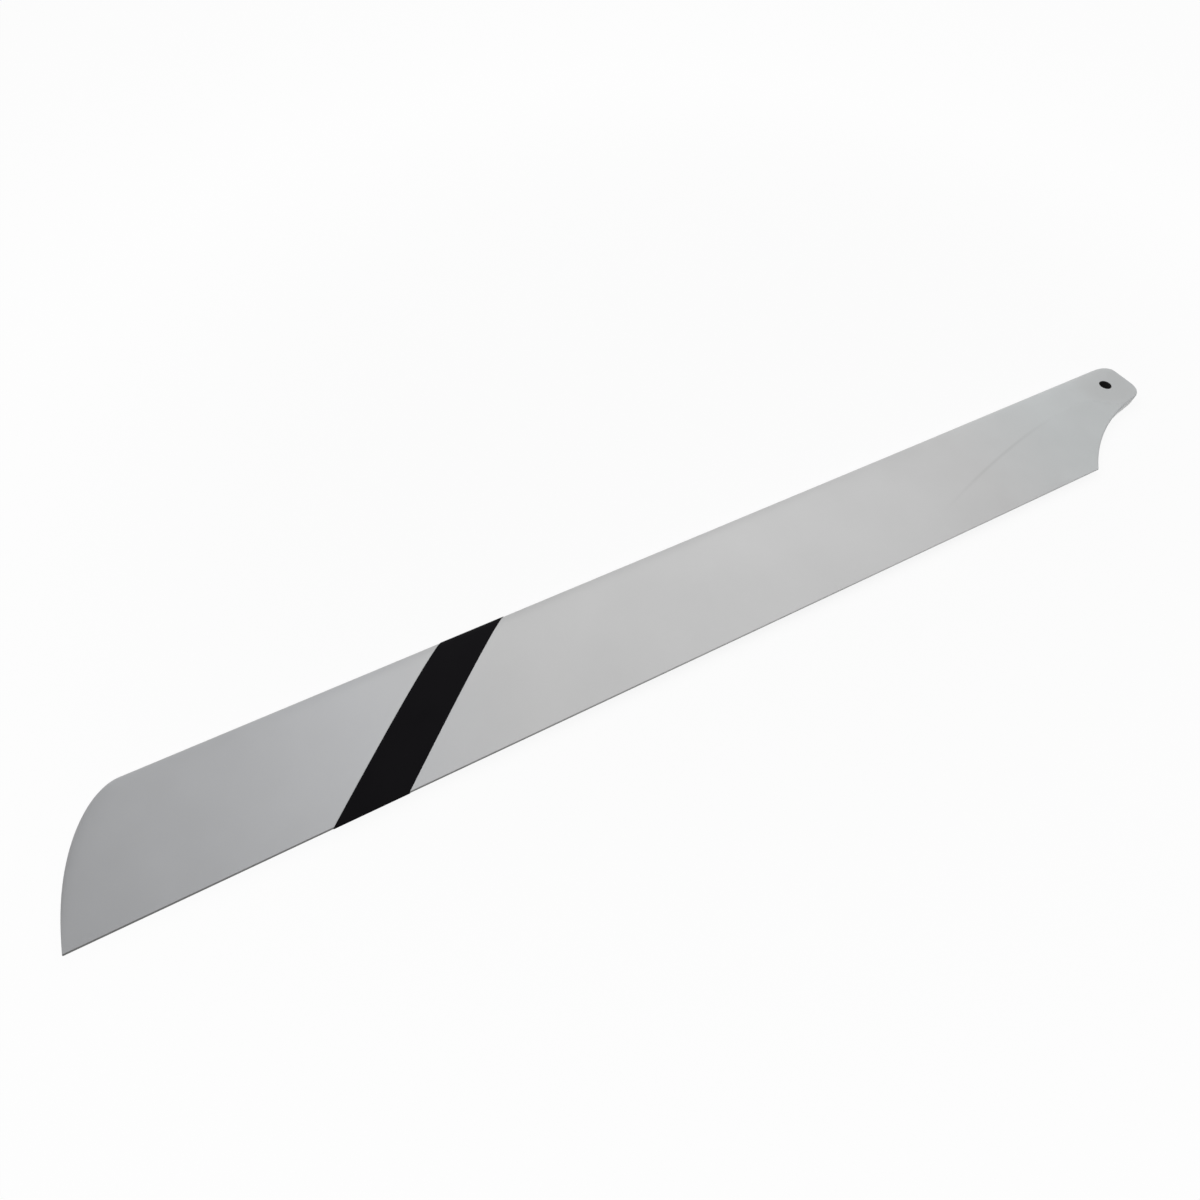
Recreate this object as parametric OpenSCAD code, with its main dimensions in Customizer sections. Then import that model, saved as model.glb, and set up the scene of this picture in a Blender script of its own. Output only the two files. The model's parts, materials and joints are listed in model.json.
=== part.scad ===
// Main rotor blade of a model helicopter: one moulded blade with a bolt hole through its flat root,
// and a slanted band of thin black film wrapped round it near the tip.
// X runs from the bolt hole to the tip, Y from the leading edge to the trailing edge, Z is up.
// The origin is on the axis of the bolt hole, halfway through the root.

/* [Blade] */
// Length from the axis of the bolt hole to the tip
hole_to_tip = 315; // [280:1:400]
// Chord, from the leading edge to the trailing edge
chord = 32; // [28:0.5:38]
// Greatest thickness of the aerofoil
section_t = 4; // [3.2:0.1:5]
// Thickness of the trailing edge
trailing_t = 0.6; // [0.4:0.1:1]

/* [Root] */
// Thickness of the flat root, which a blade grip clamps
root_t = 4.5; // [3.6:0.1:6]
// Diameter of the bolt hole
hole_d = 3.4; // [2:0.1:4]
// Distance from the leading edge to the axis of the bolt hole
hole_from_leading = 7.8; // [6.5:0.1:10]
// Length of the root past the axis of the bolt hole
root_overhang = 8.7; // [7:0.1:12]
// Width of the root beside the bolt hole, from the leading edge to the rear edge
root_w = 16.7; // [14:0.1:20]
// Angle at which the rear edge of the root leans away from the leading edge
root_flare = 10.5; // [4:0.5:16]
// Plan radius of the root's front corner
front_corner_r = 4.4; // [2:0.1:4.5]
// Plan radius of the root's rear corner
rear_corner_r = 5.2; // [4:0.1:6.5]
// Rounding of the root's rim
rim_r = 0.5; // [0.3:0.1:1.5]
// Length of the root's rounded nose, from the leading edge to the flat
nose_l = 4.6; // [4.5:0.1:5.5]

/* [Fairing] */
// Distance from the bolt hole to where the hollow cut behind the root meets the trailing edge
cut_l = 29.4; // [26:0.1:44]
// Distance from the bolt hole to where the flat root starts to turn into the aerofoil
fairing_start = 14; // [10:0.5:20]
// Distance from the bolt hole to where the aerofoil is complete
fairing_end = 84; // [60:1:110]
// Distance from the leading edge to the crease of the fairing where it starts
crease_start = 10; // [9:0.1:12]
// Distance from the leading edge to the crease of the fairing where it ends
crease_end = 24.5; // [20:0.1:26]

/* [Tip] */
// Length over which the leading edge sweeps back at the tip
sweep_l = 12.4; // [8:0.1:24]
// Distance by which the leading edge sweeps back at the tip
sweep_w = 24.5; // [15:0.1:26]

/* [Stripe] */
// Distance from the bolt hole to the stripe, along the leading edge
stripe_start = 210; // [120:1:225]
// Width of the stripe, along the blade
stripe_w = 16.9; // [8:0.1:24]
// How much further out the stripe lies at the trailing edge than at the leading edge
stripe_slant = 34.7; // [0:0.1:40]
// Thickness of the film that the stripe is cut from
film_t = 0.1; // [0.06:0.01:0.2]

/* [Hidden] */

// Half thicknesses of the flat root and of the trailing edge
root_half = root_t / 2;
trailing_half = trailing_t / 2;
// Share of the chord at which the aerofoil is thickest, and its half thickness there less the wedge
// that opens the trailing edge
thickest_at = 0.3;
section_half = section_t / 2 - thickest_at * trailing_half;
// Share of a thin edge's half thickness that its rounding takes
edge_share = 0.6;
// How late the crease swings towards the trailing edge
crease_power = 1.6;

// Ends of the blade, and where the tip's sweep starts
root_end = -root_overhang;
sweep_start = hole_to_tip - sweep_l;

// Outline of the root, with Y measured from the leading edge: the centres of its two corners, where
// the rear corner meets the straight rear edge, and the circle of the hollow cut, which leaves that
// edge smoothly beside the bolt hole
front_corner = [root_end + front_corner_r, front_corner_r];
rear_corner_x = root_end + rear_corner_r;
rear_corner = [
    rear_corner_x,
    root_w + rear_corner_x * tan(root_flare) - rear_corner_r / cos(root_flare)
];
rear_edge_start = rear_corner_x - rear_corner_r * sin(root_flare);
cut_normal = [-sin(root_flare), cos(root_flare)];
cut_reach = [cut_l, chord - root_w];
cut_r = (cut_reach * cut_reach) / (2 * (cut_reach * cut_normal));
cut_centre = [0, root_w] + cut_r * cut_normal;

// Rows of points across the blade: from the leading edge to the crease, from there to the rounding
// of the rear edge, and in that rounding, as shares of its radius
nose_rows = 13;
flank_rows = 5;
rim_rows = [0.65, 0.3, 0.1, 0];
rim_reach = 1.3;
// Steps along the root's rear corner, the hollow cut, the fairing and the tip
corner_steps = 8;
cut_steps = 12;
fairing_steps = 12;
tip_steps = 12;

function square_root(value) = sqrt(max(0, value));

// Leading edge and rear edge at a station x, as distances from the straight leading edge
function front_at(x) =
    x < front_corner[0] ? front_corner_r - square_root(front_corner_r ^ 2 - (front_corner[0] - x) ^ 2)
    : x > sweep_start ? sweep_w * (1 - square_root(1 - ((x - sweep_start) / sweep_l) ^ 2))
    : 0;
function rear_at(x) =
    x < rear_edge_start ? rear_corner[1] + square_root(rear_corner_r ^ 2 - (x - rear_corner[0]) ^ 2)
    : x < 0 ? root_w + x * tan(root_flare)
    : x < cut_l ? cut_centre[1] - square_root(cut_r ^ 2 - (x - cut_centre[0]) ^ 2)
    : chord;

// Distance of a point from the root's end and corners, and from the rear edge
function end_distance(x, y) =
    x < front_corner[0] && y < front_corner[1] ? front_corner_r - norm([x, y] - front_corner)
    : x < rear_corner[0] && y > rear_corner[1] ? rear_corner_r - norm([x, y] - rear_corner)
    : x - root_end;
function rear_distance(x, y) =
    x < 0 ? (root_w - y) * cos(root_flare) + x * sin(root_flare)
    : x < cut_l ? norm([x, y] - cut_centre) - cut_r
    : chord - y;

// Half thickness of the symmetric aerofoil, scaled to the local chord where the tip is swept
function aerofoil(s) =
    (0.2969 * sqrt(s) - 0.126 * s - 0.3516 * s ^ 2 + 0.2843 * s ^ 3 - 0.1036 * s ^ 4) / 0.1;
function wing_half(x, y) =
    let (front = x > sweep_start ? front_at(x) : 0)
    let (s = max(0, y - front) / (chord - front))
    section_half * aerofoil(s) * (chord - front) / chord + trailing_half * s;

// The crease runs from the root's rear edge to the front of the fairing, and then aft along it
function crease_at(x) =
    x < 0 ? root_w
    : x < fairing_start ? crease_start + (root_w - crease_start) * (1 + cos(180 * x / fairing_start)) / 2
    : crease_start + (crease_end - crease_start)
        * min(1, (x - fairing_start) / (fairing_end - fairing_start)) ^ crease_power;
// Half thickness of the root: a rounded nose, a flat as far as the crease, and a straight flank
function root_section_half(x, y) =
    let (crease = crease_at(x))
    y < nose_l ? root_half * square_root(1 - (1 - y / nose_l) ^ 2)
    : y < crease ? root_half
    : root_half + (trailing_half - root_half) * (y - crease) / (chord - crease);
// Share of the root's section in the section at x: all of it on the flat, none where the fairing ends
function root_share(x) =
    x < fairing_start ? 1
    : x > fairing_end ? 0
    : (1 + cos(180 * (x - fairing_start) / (fairing_end - fairing_start))) / 2;

// Half thickness before and after the rounding of the rim
function plain_half(x, y) =
    let (share = root_share(x))
    share * (share > 0 ? root_section_half(x, y) : 0) + (1 - share) * wing_half(x, y);
function edge_r(half) = min(rim_r, edge_share * half);
function blade_half(x, y) =
    let (half = plain_half(x, y))
    let (r = edge_r(half))
    let (depth = max(0, min(r, end_distance(x, y), rear_distance(x, y))))
    half - r + square_root(r ^ 2 - (r - depth) ^ 2);

// Distances from the leading edge at which the section at x has points
function rows_at(x) =
    let (front = front_at(x))
    let (rear = rear_at(x))
    let (r = edge_r(plain_half(x, rear)))
    let (flank_end = rear - rim_reach * r)
    let (split = x > sweep_start ? front + (chord - front) * crease_end / chord
        : min(crease_at(x), rear - 2 * rim_reach * rim_r))
    concat(
        [for (i = [1:nose_rows]) front + (split - front) * (1 - cos(90 * i / nose_rows))],
        [for (i = [1:flank_rows]) split + (flank_end - split) * i / flank_rows],
        [for (share = rim_rows) rear - share * r]
    );

// Section at x as a loop of [y, z]: the leading edge, the upper side going aft, and the lower side back
function section_at(x) =
    let (rows = rows_at(x))
    let (upper = [for (y = rows) [y - hole_from_leading, blade_half(x, y)]])
    concat(
        [[front_at(x) - hole_from_leading, 0]],
        upper,
        [for (i = [len(upper) - 1:-1:0]) [upper[i][0], -upper[i][1]]]
    );

// Stations from the root's end to the tip, closer together where the outline turns
stations = concat(
    [for (i = [0:corner_steps - 1]) root_end + rear_corner_r * (1 - cos(90 * i / corner_steps))],
    [rear_corner_x],
    [for (i = [0:cut_steps]) cut_l * i / cut_steps],
    [for (i = [1:fairing_steps]) cut_l + (fairing_end - cut_l) * i / fairing_steps],
    [for (i = [0:tip_steps]) sweep_start + sweep_l * sin(90 * i / tip_steps)]
);

// Solid through the sections at all stations, closed at both ends
module loft() {
    loops = [for (x = stations) [for (p = section_at(x)) [x, p[0], p[1]]]];
    n = len(loops[0]);
    last = (len(loops) - 1) * n;
    sides = [
        for (k = [0:len(loops) - 2], i = [0:n - 1])
            let (a = k * n + i, b = k * n + (i + 1) % n)
            each [[a, b, b + n], [a, b + n, a + n]]
    ];
    polyhedron(
        points = [for (loop = loops) each loop],
        faces = concat(
            sides,
            [[for (i = [n - 1:-1:0]) i]],
            [[for (i = [0:n - 1]) last + i]]
        )
    );
}

// Straight bar with a section's outline as seen along the blade, from one x to another
module bar(outline, from, to) {
    translate([from, 0, 0])
        rotate([90, 0, 90])
            linear_extrude(height = to - from)
                polygon(outline);
}

// The moulded blade, with its bolt hole drilled through the flat root
module blade() {
    color("silver")
        difference() {
            loft();
            translate([0, 0, -root_t])
                cylinder(d = hole_d, h = 2 * root_t, $fn = 64);
        }
}

// The band of film, which follows the aerofoil all round and is cut to a slanted strip
module stripe() {
    inner = section_at((fairing_end + sweep_start) / 2);
    n = len(inner);
    outer = [
        for (i = [0:n - 1])
            let (along = inner[(i + 1) % n] - inner[(i + n - 1) % n])
            inner[i] + film_t * [-along[1], along[0]] / norm(along)
    ];
    lead = stripe_slant / chord;
    low = -hole_from_leading - film_t * 2;
    high = chord - hole_from_leading + film_t * 2;
    start = stripe_start + lead * hole_from_leading;
    from = start + lead * low;
    to = start + stripe_w + lead * high;
    color("black")
        intersection() {
            difference() {
                bar(outer, from, to);
                bar(inner, from - stripe_w, to + stripe_w);
            }
            translate([0, 0, -section_t])
                linear_extrude(height = 2 * section_t)
                    polygon([
                        [start + lead * low, low],
                        [start + stripe_w + lead * low, low],
                        [start + stripe_w + lead * high, high],
                        [start + lead * high, high]
                    ]);
        }
}

blade();
stripe();
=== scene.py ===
"""Main rotor blade of a model helicopter, lying flat on a pale floor. All lengths are in metres."""
import json
import math

import bpy
import numpy as np
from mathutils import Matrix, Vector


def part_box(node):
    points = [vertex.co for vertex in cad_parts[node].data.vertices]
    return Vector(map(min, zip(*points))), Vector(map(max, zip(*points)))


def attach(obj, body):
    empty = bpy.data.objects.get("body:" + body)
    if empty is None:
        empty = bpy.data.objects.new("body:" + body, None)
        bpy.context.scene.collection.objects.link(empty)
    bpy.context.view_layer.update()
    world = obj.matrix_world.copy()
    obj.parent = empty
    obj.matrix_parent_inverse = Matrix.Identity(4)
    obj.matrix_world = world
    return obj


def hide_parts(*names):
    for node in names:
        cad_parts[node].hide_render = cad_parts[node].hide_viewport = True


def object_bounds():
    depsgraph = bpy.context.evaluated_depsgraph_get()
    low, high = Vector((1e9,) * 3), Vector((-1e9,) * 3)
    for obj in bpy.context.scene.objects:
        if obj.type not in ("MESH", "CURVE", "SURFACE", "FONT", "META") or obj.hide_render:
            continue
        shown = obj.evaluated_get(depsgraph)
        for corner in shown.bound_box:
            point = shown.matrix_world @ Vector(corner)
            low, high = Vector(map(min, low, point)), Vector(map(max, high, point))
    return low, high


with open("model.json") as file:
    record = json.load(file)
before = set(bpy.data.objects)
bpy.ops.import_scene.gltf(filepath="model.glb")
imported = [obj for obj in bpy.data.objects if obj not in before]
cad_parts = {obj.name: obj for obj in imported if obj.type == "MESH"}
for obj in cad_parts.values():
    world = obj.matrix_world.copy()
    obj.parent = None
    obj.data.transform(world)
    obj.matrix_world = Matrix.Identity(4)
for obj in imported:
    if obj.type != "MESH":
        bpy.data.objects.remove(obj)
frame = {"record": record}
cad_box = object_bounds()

# The blade: one moulding of glass fibre under a light grey gel coat, made in two half moulds that meet
# along its edges. Its root is a flat solid tab, drilled for one bolt, which fairs into a symmetric
# aerofoil, and the aerofoil runs unchanged to a tip whose leading corner sweeps round.
blade_low, blade_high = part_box("blade")
root_end = blade_low.x
tip_end = blade_high.x
leading_y = blade_low.y
chord = blade_high.y - blade_low.y
root_half = blade_high.z
bolt = next(mount for mount in frame["record"]["mounts"] if mount["name"] == "bolt_hole")

# Aerofoil: its thickness, the share of the chord at which it is thickest, the curve that gives its form,
# as factors and powers, with the curve's peak, and the wedge that opens its trailing edge
section_t = 0.004
thickest_at = 0.3
curve_terms = ((0.2969, 0.5), (-0.126, 1), (-0.3516, 2), (0.2843, 3), (-0.1036, 4))
curve_peak = 0.1
trailing_half = 0.0003
section_half = section_t / 2 - thickest_at * trailing_half

# Plan of the root, with y measured from the leading edge: its two corners, its rear edge, and the hollow
# cut that leaves that edge smoothly beside the bolt hole
root_w = 0.0167
root_flare = math.radians(10.5)
front_corner_r = 0.0044
rear_corner_r = 0.0052
nose_l = 0.0046
cut_l = 0.0294
front_corner = np.array([root_end + front_corner_r, front_corner_r])
rear_corner_x = root_end + rear_corner_r
rear_corner_y = root_w + rear_corner_x * math.tan(root_flare) - rear_corner_r / math.cos(root_flare)
rear_corner = np.array([rear_corner_x, rear_corner_y])
rear_edge_start = rear_corner_x - rear_corner_r * math.sin(root_flare)
cut_normal = np.array([-math.sin(root_flare), math.cos(root_flare)])
cut_reach = np.array([cut_l, chord - root_w])
cut_r = (cut_reach @ cut_reach) / (2 * (cut_reach @ cut_normal))
cut_centre = np.array([0, root_w]) + cut_r * cut_normal

# Rounding of the rim, and the share of a thin edge's half thickness that it takes at most
rim_r = 0.0005
edge_share = 0.6

# Fairing from the root to the aerofoil, with a crease that swings aft along it and leaves a shallow fold
# in the skin, which comes in and fades out at these shares of the fairing; then the sweep of the tip
fairing_start = 0.014
fairing_end = 0.084
crease_start = 0.010
crease_end = 0.0245
crease_power = 1.6
fold_half = 0.0008
fold_depth = 0.00002
fold_in = (0.15, 0.45)
fold_out = (0.7, 1.0)
sweep_l = 0.0124
sweep_w = 0.0245
sweep_start = tip_end - sweep_l


def root_of(value):
    """Square root, with what falls below nought taken as nought."""
    return np.sqrt(np.maximum(0, value))


def front_at(x):
    """How far the leading edge at x lies behind its straight line."""
    if x < front_corner[0]:
        return front_corner_r - root_of(front_corner_r ** 2 - (front_corner[0] - x) ** 2)
    if x > sweep_start:
        return sweep_w * (1 - root_of(1 - ((x - sweep_start) / sweep_l) ** 2))
    return 0.0


def rear_at(x):
    """How far the rear edge at x lies behind the leading edge's straight line."""
    if x < rear_edge_start:
        return rear_corner[1] + root_of(rear_corner_r ** 2 - (x - rear_corner[0]) ** 2)
    if x < 0:
        return root_w + x * math.tan(root_flare)
    if x < cut_l:
        return cut_centre[1] - root_of(cut_r ** 2 - (x - cut_centre[0]) ** 2)
    return chord


def rim_distance(x, y):
    """Distance of the points y of the section at x from the root's end, corners and rear edge."""
    from_end = np.full_like(y, x - root_end)
    if x < front_corner[0]:
        at_corner = front_corner_r - np.hypot(x - front_corner[0], y - front_corner[1])
        from_end = np.where(y < front_corner[1], at_corner, from_end)
    if x < rear_corner[0]:
        at_corner = rear_corner_r - np.hypot(x - rear_corner[0], y - rear_corner[1])
        past_arc = (x - rear_corner[0]) * cut_normal[1] - (y - rear_corner[1]) * cut_normal[0] > 0
        from_end = np.where((y > rear_corner[1]) & ~past_arc, at_corner, from_end)
    if x < 0:
        from_rear = (root_w - y) * math.cos(root_flare) + x * math.sin(root_flare)
    elif x < cut_l:
        from_rear = np.hypot(x - cut_centre[0], y - cut_centre[1]) - cut_r
    else:
        from_rear = chord - y
    return np.minimum(from_end, from_rear)


def wing_half(x, y):
    """Half thickness of the symmetric aerofoil, scaled to the local chord where the tip is swept."""
    front = front_at(x) if x > sweep_start else 0.0
    s = np.maximum(0, y - front) / (chord - front)
    curve = sum(factor * s ** power for factor, power in curve_terms)
    return section_half * curve / curve_peak * (chord - front) / chord + trailing_half * s


def fairing_share(x):
    """How far along the fairing x lies, from nought before it to one past it."""
    return min(1, max(0, (x - fairing_start) / (fairing_end - fairing_start)))


def crease_at(x):
    """How far the crease at x lies behind the leading edge's straight line."""
    if x < 0:
        return root_w
    if x < fairing_start:
        return crease_start + (root_w - crease_start) * (1 + math.cos(math.pi * x / fairing_start)) / 2
    return crease_start + (crease_end - crease_start) * fairing_share(x) ** crease_power


def root_section_half(x, y):
    """Half thickness of the root: a rounded nose, a flat as far as the crease, and a straight flank."""
    crease = crease_at(x)
    nose = root_half * root_of(1 - (1 - y / nose_l) ** 2)
    flank = root_half + (trailing_half - root_half) * (y - crease) / (chord - crease)
    return np.where(y < nose_l, nose, np.where(y < crease, root_half, flank))


def plain_half(x, y):
    """Half thickness before the rim is rounded, with the root's share falling along the fairing."""
    share = (1 + math.cos(math.pi * fairing_share(x))) / 2
    return share * root_section_half(x, y) + (1 - share) * wing_half(x, y)


def fold_at(x, y):
    """Depth of the fold along the crease at the points y of the section at x."""
    strength = np.interp(fairing_share(x), (*fold_in, *fold_out), (0, 1, 1, 0))
    off = np.clip(np.abs(y - crease_at(x)) / fold_half, 0, 1)
    return fold_depth * strength * (1 + np.cos(math.pi * off)) / 2


def edge_r(half):
    """Radius of the rim's rounding where the blade has this half thickness."""
    return np.minimum(rim_r, edge_share * half)


def blade_half(x, y):
    """Half thickness of the finished blade at the points y of the section at x."""
    half = plain_half(x, y)
    r = edge_r(half)
    depth = np.clip(rim_distance(x, y), 0, r)
    return half - r + root_of(r ** 2 - (r - depth) ** 2) - fold_at(x, y)


# Points across a section, closest at the nose, in the fold and in the rounding of the rear edge
nose_rows = 60
fold_rows = 10
flank_rows = 24
rim_rows = 8
rim_reach = 1.3


def rows_at(x):
    """Distances from the leading edge at which the section at x has points."""
    front = front_at(x)
    rear = rear_at(x)
    edge = edge_r(plain_half(x, np.array([rear])))[0]
    if x > sweep_start:
        split = front + (chord - front) * crease_end / chord
    else:
        split = min(crease_at(x), rear - 2 * rim_reach * rim_r - fold_half)
    turn = np.linspace(0, math.pi / 2, nose_rows + 1)[1:]
    nose = front + (split - fold_half - front) * (1 - np.cos(turn))
    fold = np.linspace(split - fold_half, split + fold_half, fold_rows + 1)[1:]
    flank = np.linspace(split + fold_half, rear - rim_reach * edge, flank_rows + 1)[1:]
    turn = np.linspace(0, math.pi / 2, rim_rows + 1)[1:]
    rim = rear - rim_reach * edge * (1 - np.sin(turn))
    return np.concatenate([nose, fold, flank, rim])


# The trimmed seam of the two half moulds stands proud by this much along the leading and rear edges
seam_h = 0.00003


def ring_at(x):
    """Section at x as a closed loop: leading edge, upper side going aft, rear edge, lower side back."""
    rows = rows_at(x)
    upper = np.column_stack([np.full_like(rows, x), rows + leading_y, blade_half(x, rows)])
    nose = [[x, front_at(x) + leading_y - seam_h, 0]]
    tail = [[x, rear_at(x) + leading_y + seam_h, 0]]
    return np.vstack([nose, upper, tail, upper[::-1] * (1, 1, -1)])


def loft(name, rings, capped=True):
    """Mesh object through equal closed rings, with a flat face at each end or else joined end to end."""
    count = len(rings)
    n = len(rings[0])
    faces = []
    for k in range(count - 1 if capped else count):
        here = k * n
        there = (k + 1) % count * n
        for i in range(n):
            j = (i + 1) % n
            faces.append((here + i, there + i, there + j, here + j))
    if capped:
        last = (count - 1) * n
        faces.append(tuple(range(n)))
        faces.append(tuple(last + i for i in reversed(range(n))))
    mesh = bpy.data.meshes.new(name)
    mesh.from_pydata(np.vstack(rings).tolist(), [], faces)
    mesh.validate()
    made = bpy.data.objects.new(name, mesh)
    bpy.context.scene.collection.objects.link(made)
    return made


# Sections along the blade: round the root's corners, along its rear edge, the hollow cut, the rest of the
# fairing and the plain aerofoil, and round the tip
corner_steps = 48
rear_edge_steps = 8
cut_steps = 63
fairing_steps = 63
wing_steps = 39
quarter = np.linspace(0, math.pi / 2, corner_steps + 1)
stations = np.concatenate([
    root_end + rear_corner_r * (1 - np.cos(quarter)),
    np.linspace(rear_corner_x, 0, rear_edge_steps + 1)[1:-1],
    np.linspace(0, cut_l, cut_steps + 1),
    np.linspace(cut_l, fairing_end, fairing_steps + 1)[1:],
    np.linspace(fairing_end, sweep_start, wing_steps + 1)[1:],
    sweep_start + sweep_l * np.sin(quarter[1:]),
])
blade = loft("blade_moulding", [ring_at(x) for x in stations])


def node_material(name, specular):
    """New material with its specular level set, its node tree and its shader."""
    made = bpy.data.materials.new(name)
    made.use_nodes = True
    shader = made.node_tree.nodes["Principled BSDF"]
    shader.inputs["Specular IOR Level"].default_value = specular
    return made, made.node_tree, shader


def own_place(tree):
    """Place on the piece, in the piece's own space."""
    return tree.nodes.new("ShaderNodeTexCoord").outputs["Object"]


def distance_from(tree, point):
    """Distance of the place on the piece from a point."""
    made = tree.nodes.new("ShaderNodeVectorMath")
    made.operation = "DISTANCE"
    made.inputs[1].default_value = point
    tree.links.new(own_place(tree), made.inputs[0])
    return made.outputs["Value"]


def noise_on(tree, scale, detail):
    """Noise in the piece's own space, with about scale features to a metre."""
    noise = tree.nodes.new("ShaderNodeTexNoise")
    noise.inputs["Scale"].default_value = scale
    noise.inputs["Detail"].default_value = detail
    tree.links.new(own_place(tree), noise.inputs["Vector"])
    return noise.outputs["Fac"]


def colour_between(tree, factor, first, second):
    """Colour from the first to the second by a factor; each is a plain colour or a node's result."""
    mix = tree.nodes.new("ShaderNodeMix")
    mix.data_type = "RGBA"
    tree.links.new(factor, mix.inputs["Factor"])
    for socket, colour in (("A", first), ("B", second)):
        if isinstance(colour, tuple):
            mix.inputs[socket].default_value = (*colour, 1)
        else:
            tree.links.new(colour, mix.inputs[socket])
    return mix.outputs["Result"]


def bump_from(tree, height, depth):
    """Normal of a surface that rises and falls with a height, by a depth at most."""
    bump = tree.nodes.new("ShaderNodeBump")
    bump.inputs["Distance"].default_value = depth
    tree.links.new(height, bump.inputs["Height"])
    return bump.outputs["Normal"]


def ramp(tree, value, span, result, kind="LINEAR"):
    """Value mapped from one span to another and held at its ends."""
    made = tree.nodes.new("ShaderNodeMapRange")
    made.interpolation_type = kind
    made.inputs["From Min"].default_value, made.inputs["From Max"].default_value = span
    made.inputs["To Min"].default_value, made.inputs["To Max"].default_value = result
    tree.links.new(value, made.inputs["Value"])
    return made.outputs["Result"]


def combine(tree, operation, first, second=None):
    """Result of one operation on a value and, where it takes two, a second value or a plain number."""
    made = tree.nodes.new("ShaderNodeMath")
    made.operation = operation
    tree.links.new(first, made.inputs[0])
    if isinstance(second, float):
        made.inputs[1].default_value = second
    elif second is not None:
        tree.links.new(second, made.inputs[1])
    return made.outputs["Value"]


# Gel coat: pale grey and a little cloudy, a touch cooler outboard of the stripe and on the fairing, and
# darker round the bolt hole, where the grip rubs it. Noise is read over the span that it mostly fills.
coat_grey = (0.538, 0.538, 0.538)
tip_grey = (0.531, 0.538, 0.552)
fairing_grey = (0.545, 0.563, 0.566)
rubbed_grey = (0.520, 0.532, 0.534)
tip_zone = (0.215, 0.25)
fairing_zone = (0.065, 0.03)
rubbed_zone = (0.011, 0.007)
cloud_scale = 60
cloud_detail = 4
cloud_depth = 0.955
noise_span = (0.3, 0.7)
coat_specular = 0.5
gel_coat, tree, shader = node_material("gel_coat", coat_specular)
axes = tree.nodes.new("ShaderNodeSeparateXYZ")
tree.links.new(own_place(tree), axes.inputs["Vector"])
x_at, y_at, z_at = axes.outputs
from_hole = distance_from(tree, bolt["pos_m"])
cloud = ramp(tree, noise_on(tree, cloud_scale, cloud_detail), noise_span, (0, 1))


def clouded(grey):
    """Grey of the coat with the clouds' darker patches in it."""
    deep = tuple(cloud_depth * part for part in grey)
    return colour_between(tree, cloud, deep, grey)


zones = (
    (x_at, tip_zone, tip_grey),
    (x_at, fairing_zone, fairing_grey),
    (from_hole, rubbed_zone, rubbed_grey),
)
coat = clouded(coat_grey)
for measure, span, grey in zones:
    coat = colour_between(tree, ramp(tree, measure, span, (0, 1)), coat, clouded(grey))

# Bare resin shows in a thin line along the seam, the only place on the outside that is near the middle
# plane. Painted shade in the same grey darkens the last bit of the trailing edge, more so towards the
# tip.
# Grey of bare resin, also used for the painted shade on the trailing edge and in the fold
resin_and_shade_grey = (0.19, 0.19, 0.187)
seam_half = 0.00006
edge_shade_w = 0.00014
edge_shade_span = (0.10, 0.24)
height = combine(tree, "ABSOLUTE", z_at)
on_seam = ramp(tree, height, (seam_half, 2 * seam_half), (1, 0))
# Painted shade on the trailing edge, in place of the shadow on its edge face, growing towards the tip
trailing_edge_shade = ramp(tree, y_at, (blade_high.y - 2 * edge_shade_w, blade_high.y - edge_shade_w), (0, 1))
trailing_edge_shade = combine(tree, "MULTIPLY", trailing_edge_shade, ramp(tree, x_at, edge_shade_span, (0, 1)))
seam_and_edge_shade = combine(tree, "MAXIMUM", on_seam, trailing_edge_shade)

# The fold along the crease holds a little painted shade, a faint line of the resin grey
fold_shade = 0.14
along = ramp(tree, x_at, (fairing_start, fairing_end), (0, 1))
swing = combine(tree, "POWER", along, crease_power)
fold_y = ramp(tree, swing, (0, 1), (leading_y + crease_start, leading_y + crease_end))
off_fold = combine(tree, "ABSOLUTE", combine(tree, "SUBTRACT", y_at, fold_y))
shade = ramp(tree, off_fold, (0, fold_half), (fold_shade, 0), "SMOOTHSTEP")
shade = combine(tree, "MULTIPLY", shade, ramp(tree, along, fold_in, (0, 1)))
shade = combine(tree, "MULTIPLY", shade, ramp(tree, along, fold_out, (1, 0)))
dark = combine(tree, "MAXIMUM", seam_and_edge_shade, shade)
tree.links.new(colour_between(tree, dark, coat, resin_and_shade_grey), shader.inputs["Base Color"])

# Its gloss is uneven from handling, and it has the faint ripple of a sprayed mould face
handling_scale = 120
handling_detail = 3
coat_roughness = (0.29, 0.37)
ripple_scale = 900
ripple_detail = 2
ripple_depth = 0.000004
handling = noise_on(tree, handling_scale, handling_detail)
tree.links.new(ramp(tree, handling, noise_span, coat_roughness), shader.inputs["Roughness"])
ripple = noise_on(tree, ripple_scale, ripple_detail)
tree.links.new(bump_from(tree, ripple, ripple_depth), shader.inputs["Normal"])
blade.data.materials.append(gel_coat)

# The bolt hole is drilled through the finished root and deburred, so its wall and the small chamfers at
# its mouths are bare laminate, coloured near black as painted shade for the dim inside of the hole.
hole_r = bolt["dims"]["r_mm"] / 1000
chamfer = 0.0002
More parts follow.
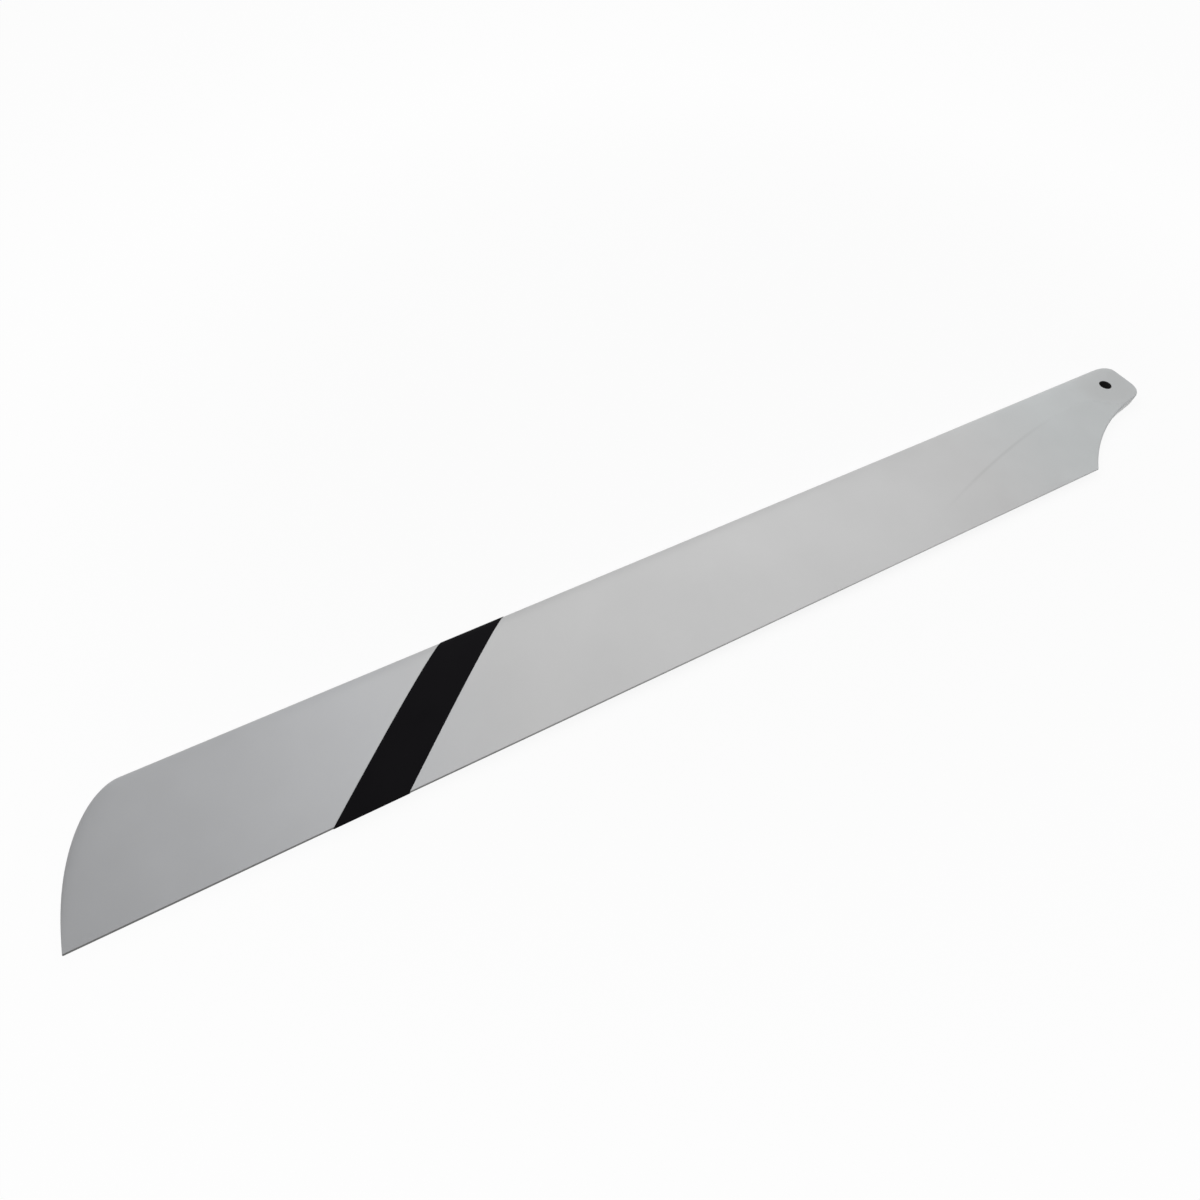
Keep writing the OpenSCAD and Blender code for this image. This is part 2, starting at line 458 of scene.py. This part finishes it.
# Near-black plies: bare laminate darkened with painted shade for the inside of the hole
ply_and_shade_deep = (0.012, 0.012, 0.012)
ply_and_shade_pale = (0.030, 0.029, 0.028)
ply_scale = 2500
ply_detail = 3
ply_specular = 0.1
ply_roughness = 0.8
laminate_and_hole_shade, tree, shader = node_material("laminate_with_painted_hole_shade", ply_specular)
plies = noise_on(tree, ply_scale, ply_detail)
tree.links.new(colour_between(tree, plies, ply_and_shade_deep, ply_and_shade_pale), shader.inputs["Base Color"])
shader.inputs["Roughness"].default_value = ply_roughness
drill_steps = 128
turn = np.linspace(0, 2 * math.pi, drill_steps + 1)[:-1]
circle = np.column_stack([np.cos(turn), np.sin(turn), np.zeros_like(turn)])
drill_profile = (
    (hole_r + 2 * chamfer, root_half + chamfer),
    (hole_r, root_half - chamfer),
    (hole_r, chamfer - root_half),
    (hole_r + 2 * chamfer, -root_half - chamfer),
)
drill = loft("drill", [r * circle + (0, 0, z) for r, z in drill_profile])
drill.data.materials.append(laminate_and_hole_shade)
blade.data.materials.append(laminate_and_hole_shade)
bore = blade.modifiers.new("bore", "BOOLEAN")
bore.operation = "DIFFERENCE"
bore.solver = "EXACT"
bore.material_mode = "TRANSFER"
bore.object = drill
bpy.context.view_layer.objects.active = blade
bpy.ops.object.modifier_apply(modifier=bore.name)
bpy.data.objects.remove(drill)
sharp_angle = math.radians(35)


def smooth_faces(piece):
    """Smooth shading, with the piece's own edges kept sharp."""
    piece.data.shade_smooth()
    piece.data.set_sharp_from_angle(angle=sharp_angle)


smooth_faces(blade)
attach(blade, "root")
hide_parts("blade")

# The stripe: a slanted band of thin black film, cut straight and wrapped round the finished blade from
# one face to the other, so that it follows the aerofoil and covers both edges.
film_t = 0.0001
stripe_start = 0.21
stripe_w = 0.0169
stripe_slant = 0.0347
stripe_steps = 12
inner = ring_at((fairing_end + sweep_start) / 2)[:, 1:]
tangent = np.roll(inner, -1, axis=0) - np.roll(inner, 1, axis=0)
outward = np.column_stack([-tangent[:, 1], tangent[:, 0]]) / np.linalg.norm(tangent, axis=1)[:, None]
outer = inner + film_t * outward


def film_ring(loop, across):
    """Closed loop round the blade at a share of the stripe's width, set back by its slant."""
    lead = stripe_slant / chord
    x = stripe_start + stripe_w * across + lead * (loop[:, 0] - leading_y)
    return np.column_stack([x, loop])


shares = np.linspace(0, 1, stripe_steps + 1)
film_rings = [film_ring(outer, s) for s in shares] + [film_ring(inner, s) for s in shares[::-1]]
stripe = loft("stripe_film", film_rings, capped=False)
smooth_faces(stripe)

# Satin black vinyl, not quite even in colour or gloss
ink_deep = (0.0030, 0.0027, 0.0034)
ink_pale = (0.0044, 0.0040, 0.0050)
ink_scale = 60
ink_detail = 3
film_specular = 0.03
film_roughness = (0.44, 0.56)
skin_scale = 1400
skin_detail = 2
skin_depth = 0.000003
satin_black, tree, shader = node_material("satin_black_film", film_specular)
ink = noise_on(tree, ink_scale, ink_detail)
tree.links.new(colour_between(tree, ink, ink_deep, ink_pale), shader.inputs["Base Color"])
handling = noise_on(tree, handling_scale, handling_detail)
tree.links.new(ramp(tree, handling, noise_span, film_roughness), shader.inputs["Roughness"])
skin = noise_on(tree, skin_scale, skin_detail)
tree.links.new(bump_from(tree, skin, skin_depth), shader.inputs["Normal"])
stripe.data.materials.append(satin_black)
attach(stripe, "root")
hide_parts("stripe")

# The floor: a white sheet under the blade, which keeps its soft shadow. It also shows a white of its own
# to the camera, more so away from the spot under the soft box, so that it is even out to its edges.
floor_size = 8
floor_white = (0.9, 0.9, 0.9)
floor_specular = 0.1
floor_roughness = 0.9
lit_spot = (0.112, -0.065)
glow_reach = (0, 0.25)
floor_glow = (0.8, 0.97)
floor_z = cad_box[0].z
floor_half = floor_size / 2
corners = [(-floor_half, -floor_half), (floor_half, -floor_half)]
corners += [(floor_half, floor_half), (-floor_half, floor_half)]
sheet = bpy.data.meshes.new("floor")
sheet.from_pydata([(x, y, floor_z) for x, y in corners], [], [(0, 1, 2, 3)])
floor = bpy.data.objects.new("floor", sheet)
bpy.context.scene.collection.objects.link(floor)


def seen_directly(tree):
    """One where a ray comes from the camera, or from it by way of a reflection or a clear body."""
    path = tree.nodes.new("ShaderNodeLightPath")
    direct = combine(tree, "MAXIMUM", path.outputs["Is Camera Ray"], path.outputs["Is Glossy Ray"])
    return combine(tree, "MAXIMUM", direct, path.outputs["Is Transmission Ray"])


def shader_between(tree, factor, first, second, output):
    """Surface that goes from the first shader to the second by a factor, as the output of its tree."""
    mix = tree.nodes.new("ShaderNodeMixShader")
    tree.links.new(factor, mix.inputs["Fac"])
    tree.links.new(first, mix.inputs[1])
    tree.links.new(second, mix.inputs[2])
    tree.links.new(mix.outputs["Shader"], tree.nodes[output].inputs["Surface"])


floor_finish, tree, shader = node_material("white_sheet", floor_specular)
shader.inputs["Base Color"].default_value = (*floor_white, 1)
shader.inputs["Roughness"].default_value = floor_roughness
glow = tree.nodes.new("ShaderNodeEmission")
from_spot = distance_from(tree, (*lit_spot, floor_z))
growing = ramp(tree, from_spot, glow_reach, floor_glow, "SMOOTHSTEP")
glow_share = combine(tree, "MULTIPLY", seen_directly(tree), growing)
shader_between(tree, glow_share, shader.outputs["BSDF"], glow.outputs["Emission"], "Material Output")
sheet.materials.append(floor_finish)

# Studio light: a soft box over the inner blade, which leaves the tip a little darker, and an even room
# light. The room itself is white to the camera and in reflections.
soft_box_size = (0.42, 0.52)
soft_box_h = 0.22
soft_box_power = 1.055
room_light = 0.04
room_white = 0.97
plain_white = (1, 1, 1, 1)
lamp = bpy.data.lights.new("soft_box", "AREA")
lamp.shape = "RECTANGLE"
lamp.size, lamp.size_y = soft_box_size
lamp.energy = soft_box_power
soft_box = bpy.data.objects.new("soft_box", lamp)
soft_box.location = (*lit_spot, soft_box_h)
bpy.context.scene.collection.objects.link(soft_box)
room = bpy.data.worlds.new("white_room")
room.use_nodes = True
tree = room.node_tree
lit = tree.nodes["Background"]
lit.inputs["Color"].default_value = plain_white
lit.inputs["Strength"].default_value = room_light
white = tree.nodes.new("ShaderNodeBackground")
white.inputs["Color"].default_value = plain_white
white.inputs["Strength"].default_value = room_white
any_view = seen_directly(tree)
shader_between(tree, any_view, lit.outputs["Background"], white.outputs["Background"], "World Output")
bpy.context.scene.world = room

# The camera: a wide lens close over the tip's side of the blade, with the root far away on the right. Its
# sensor and focal length are in millimetres, and its frame is shifted down by a share of its width.
camera_place = (0.22657, 0.08383, 0.16604)
camera_heading = math.radians(-115.949)
camera_pitch = math.radians(52.333)
sensor_w = 36
focal_length = 21.444
frame_shift = -0.0833
nearest_seen = 0.01
lens = bpy.data.cameras.new("camera")
lens.sensor_width = sensor_w
lens.lens = focal_length
lens.shift_y = frame_shift
lens.clip_start = nearest_seen
camera = bpy.data.objects.new("camera", lens)
camera.location = camera_place
camera.rotation_euler = (math.pi / 2 - camera_pitch, 0, camera_heading - math.pi / 2)
bpy.context.scene.collection.objects.link(camera)
bpy.context.scene.camera = camera
bpy.context.scene.view_settings.view_transform = "Standard"
